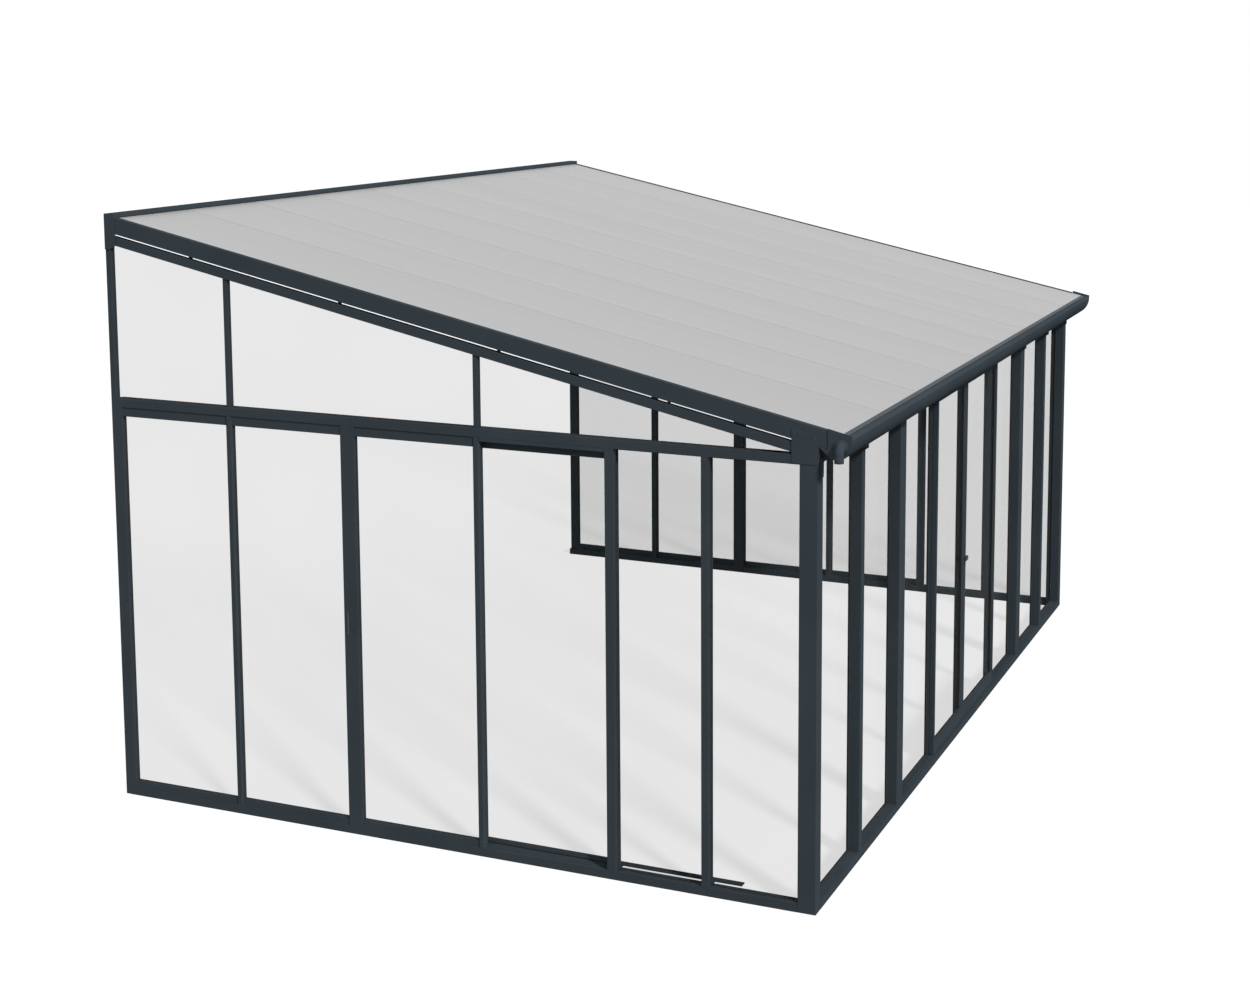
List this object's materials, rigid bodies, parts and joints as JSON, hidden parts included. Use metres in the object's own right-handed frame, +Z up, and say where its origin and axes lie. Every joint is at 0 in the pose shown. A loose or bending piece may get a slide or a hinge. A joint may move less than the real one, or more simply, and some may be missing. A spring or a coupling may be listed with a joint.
{
  "type": "lean-to conservatory",
  "caption": "Lean-to garden conservatory for a house wall: slim dark profiles, clear glazed walls with sliding leaves, a sloped light panel roof and a front gutter.",
  "frame": {"origin": "middle of the bounding box at floor level", "axes": "+X along the house wall to the right gable, +Y from the gutter side to the house, +Z up"},
  "size_m": [5.5666, 4.163, 3.1934],
  "materials": {
    "frame": "anthracite powder coat",
    "clear_pane": "clear acrylic sheet",
    "roof_sheet": "satin translucent hollow-chamber sheet",
    "roller": "moulded nylon",
    "pull": "moulded, satin",
    "steel": "zinc plated"
  },
  "bodies": {
    "frame": {"base_rail_front": "frame", "base_rail_left": "frame", "base_rail_right": "frame", "bay_rails": "frame", "corner_gussets": "frame", "corner_post_left": "frame", "corner_post_right": "frame", "door_guides": "frame", "door_tracks": "frame", "edge_rafter_left": "frame", "edge_rafter_right": "frame", "frame_screws": "steel", "front_beam": "frame", "front_panes": "clear_pane", "gable_rail_spacers": "frame", "gable_rails": "frame", "gutter": "frame", "gutter_brackets": "frame", "gutter_cap_left": "frame", "gutter_cap_right": "frame", "gutter_outlet": "frame", "header_left": "frame", "header_right": "frame", "latch_plate": "steel", "lower_panes_left": "clear_pane", "lower_panes_right": "clear_pane", "roof_joiners": "frame", "roof_panel_1": "roof_sheet", "roof_panel_2": "roof_sheet", "roof_panel_3": "roof_sheet", "roof_panel_4": "roof_sheet", "roof_panel_5": "roof_sheet", "roof_panel_6": "roof_sheet", "roof_panel_7": "roof_sheet", "roof_panel_8": "roof_sheet", "roof_panel_9": "roof_sheet", "studs_front": "frame", "studs_left": "frame", "studs_right": "frame", "upper_mullions": "frame", "upper_panes": "clear_pane", "wall_posts": "frame", "wall_rail": "frame", "wall_rail_caps": "frame"},
    "side_leaf": {"side_leaf_frame": "frame", "side_leaf_pane": "clear_pane", "side_leaf_pull": "pull"},
    "front_left_leaf": {"front_left_leaf_frame": "frame", "front_left_leaf_pane": "clear_pane", "front_left_leaf_pull": "pull"},
    "front_right_leaf": {"front_right_leaf_frame": "frame", "front_right_leaf_pane": "clear_pane", "front_right_leaf_pull": "pull"},
    "front_left_roller_1": {"front_left_roller_1": "roller"},
    "front_left_roller_2": {"front_left_roller_2": "roller"},
    "front_right_roller_1": {"front_right_roller_1": "roller"},
    "front_right_roller_2": {"front_right_roller_2": "roller"},
    "side_roller_1": {"side_roller_1": "roller"},
    "side_roller_2": {"side_roller_2": "roller"}
  },
  "joints": [
    {"name": "side_leaf_slide", "type": "slide", "parent": "frame", "child": "side_leaf", "axis": [0, -1, 0], "range_m": [0, 0.65]},
    {"name": "front_left_leaf_slide", "type": "slide", "parent": "frame", "child": "front_left_leaf", "axis": [-1, 0, 0], "range_m": [0, 0.58]},
    {"name": "front_right_leaf_slide", "type": "slide", "parent": "frame", "child": "front_right_leaf", "axis": [1, 0, 0], "range_m": [0, 0.58]},
    {"name": "side_roller_1_turn", "type": "hinge", "parent": "side_leaf", "child": "side_roller_1", "pos_m": [-2.63575, -0.7325, 0.0523], "axis": [1, 0, 0], "range_deg": [0, 7450]},
    {"name": "side_roller_2_turn", "type": "hinge", "parent": "side_leaf", "child": "side_roller_2", "pos_m": [-2.63575, -0.2085, 0.0523], "axis": [1, 0, 0], "range_deg": [0, 7450]},
    {"name": "front_left_roller_1_turn", "type": "hinge", "parent": "front_left_leaf", "child": "front_left_roller_1", "pos_m": [-0.51875, -1.8935, 0.0553], "axis": [0, -1, 0], "range_deg": [0, 6650]},
    {"name": "front_left_roller_2_turn", "type": "hinge", "parent": "front_left_leaf", "child": "front_left_roller_2", "pos_m": [-0.11075, -1.8935, 0.0553], "axis": [0, -1, 0], "range_deg": [0, 6650]},
    {"name": "front_right_roller_1_turn", "type": "hinge", "parent": "front_right_leaf", "child": "front_right_roller_1", "pos_m": [0.12425, -1.8935, 0.0553], "axis": [0, 1, 0], "range_deg": [0, 6650]},
    {"name": "front_right_roller_2_turn", "type": "hinge", "parent": "front_right_leaf", "child": "front_right_roller_2", "pos_m": [0.64425, -1.8935, 0.0553], "axis": [0, 1, 0], "range_deg": [0, 6650]}
  ],
  "couplings": [
    {"joint": "side_roller_1_turn", "follows": "side_leaf_slide", "rad_per_m": 200},
    {"joint": "side_roller_2_turn", "follows": "side_leaf_slide", "rad_per_m": 200},
    {"joint": "front_left_roller_1_turn", "follows": "front_left_leaf_slide", "rad_per_m": 200},
    {"joint": "front_left_roller_2_turn", "follows": "front_left_leaf_slide", "rad_per_m": 200},
    {"joint": "front_right_roller_1_turn", "follows": "front_right_leaf_slide", "rad_per_m": 200},
    {"joint": "front_right_roller_2_turn", "follows": "front_right_leaf_slide", "rad_per_m": 200}
  ]
}
